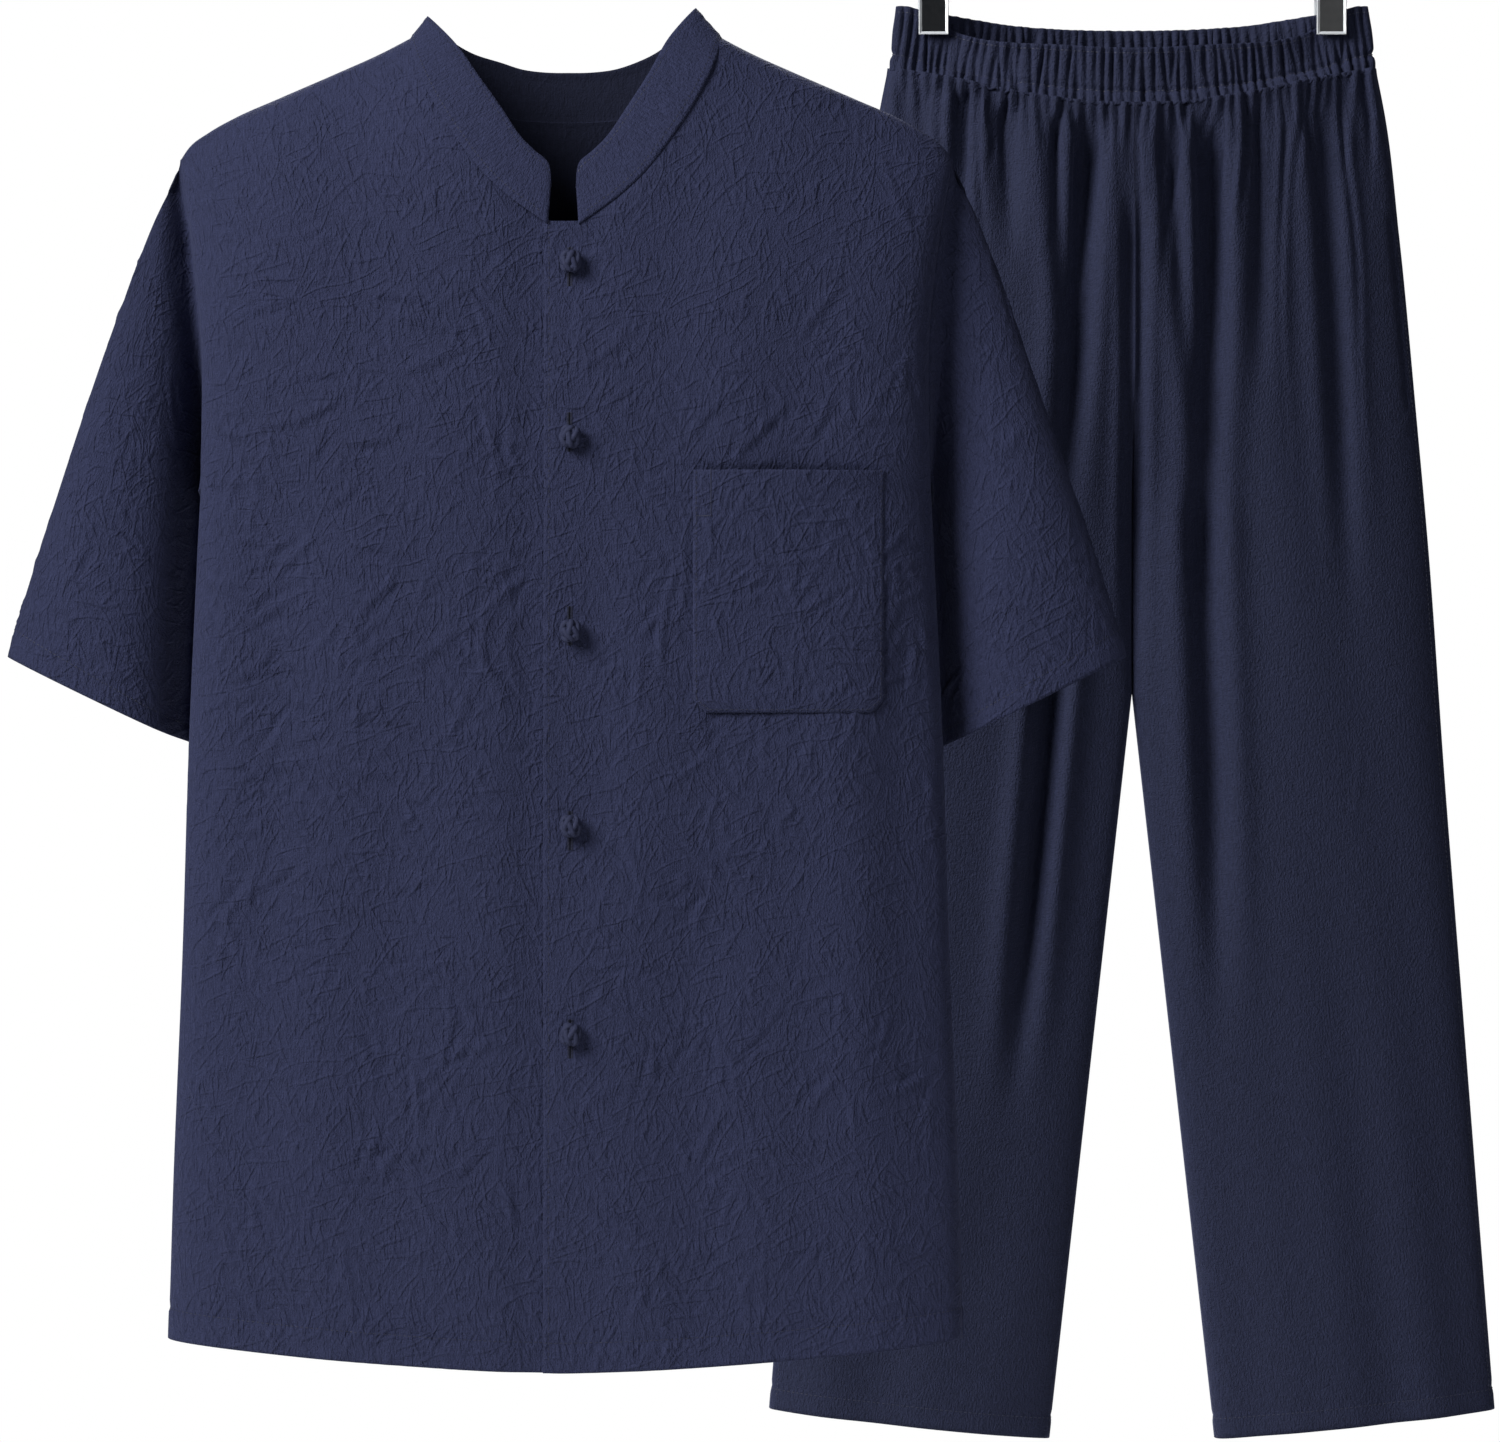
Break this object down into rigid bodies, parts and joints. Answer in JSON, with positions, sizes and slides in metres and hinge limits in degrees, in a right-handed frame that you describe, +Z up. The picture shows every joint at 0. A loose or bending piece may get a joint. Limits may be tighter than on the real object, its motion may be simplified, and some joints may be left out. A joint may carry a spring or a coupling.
{
  "type": "short-sleeved stand-collar shirt and elastic-waist trousers suit with trouser clip hanger",
  "caption": "Hanging suit: loose short-sleeved shirt with a stand collar, knot buttons and a chest pocket, and elastic-waist trousers gripped by a clip hanger.",
  "frame": {"origin": "inner crown of the trouser hanger's hook, where a rail carries it", "axes": "+Z up, the suit's front faces -Y, and the wearer's left is towards +X"},
  "size_m": [0.9385, 0.1888, 1.0134],
  "materials": {
    "shirt_cloth": "navy crinkled linen-like weave, matt",
    "trouser_cloth": "navy fine plain weave, matt",
    "knot_cord": "navy cloth cord, matt",
    "clear_plastic": "clear, polished",
    "rubber": "ribbed black",
    "steel": "bright plated wire and bar"
  },
  "bodies": {
    "root": {"shirt_front_left": "shirt_cloth", "shirt_front_right": "shirt_cloth", "shirt_back": "shirt_cloth", "sleeve_left": "shirt_cloth", "sleeve_right": "shirt_cloth", "stand_collar": "shirt_cloth", "chest_pocket": "shirt_cloth", "knot_button_1": "knot_cord", "knot_button_2": "knot_cord", "knot_button_3": "knot_cord", "knot_button_4": "knot_cord", "knot_button_5": "knot_cord", "trouser_front_left": "trouser_cloth", "trouser_front_right": "trouser_cloth", "trouser_back_left": "trouser_cloth", "trouser_back_right": "trouser_cloth", "waistband": "trouser_cloth", "clip_pad_left_front": "rubber", "clip_jaw_left_front": "clear_plastic", "clip_pad_left_back": "rubber", "clip_jaw_left_back": "clear_plastic", "clip_saddle_left": "steel", "clip_pad_right_front": "rubber", "clip_jaw_right_front": "clear_plastic", "clip_pad_right_back": "rubber", "clip_jaw_right_back": "clear_plastic", "clip_saddle_right": "steel", "hanger_bar": "steel", "hanger_hook": "steel"}
  },
  "joints": []
}
